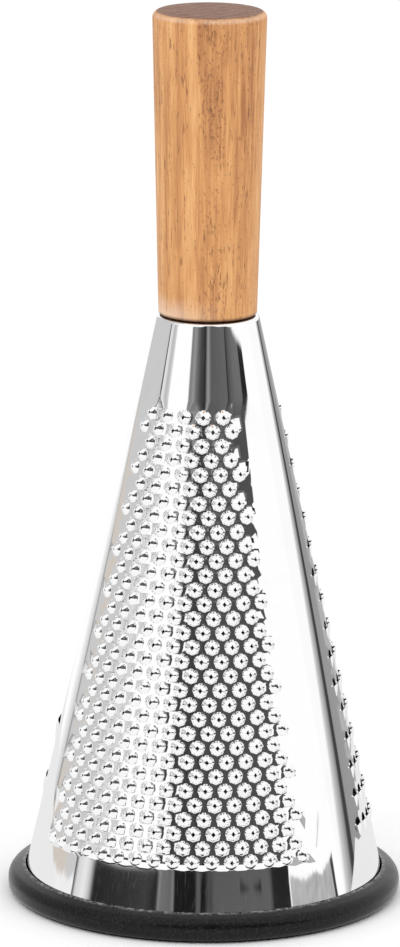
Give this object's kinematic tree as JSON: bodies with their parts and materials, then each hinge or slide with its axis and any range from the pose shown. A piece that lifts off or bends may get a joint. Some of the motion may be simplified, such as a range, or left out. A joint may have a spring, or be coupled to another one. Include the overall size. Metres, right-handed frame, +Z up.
{
  "type": "cone grater",
  "caption": "Conical steel hand grater with fine, coarse and slicing zones, an upright turned wooden handle and a rubber foot ring.",
  "frame": {"origin": "middle of the footprint, on the surface that the foot ring stands on", "axes": "+Z up along the cone's axis; -Y towards the front, where the fine zone faces; +X to the right, towards the coarse zone"},
  "size_m": [0.11, 0.11, 0.25],
  "materials": {
    "cone_steel": "mirror-polished stainless steel sheet",
    "inner_steel": "plain and zinc-plated steel hardware",
    "handle_wood": "oiled hardwood with upright grain",
    "ring_rubber": "satin black rubber"
  },
  "bodies": {
    "root": {"grater_cone": "cone_steel", "handle": "handle_wood", "base_ring": "ring_rubber", "clamp_plate": "inner_steel", "screw_washer": "inner_steel", "handle_screw": "inner_steel"}
  },
  "joints": []
}
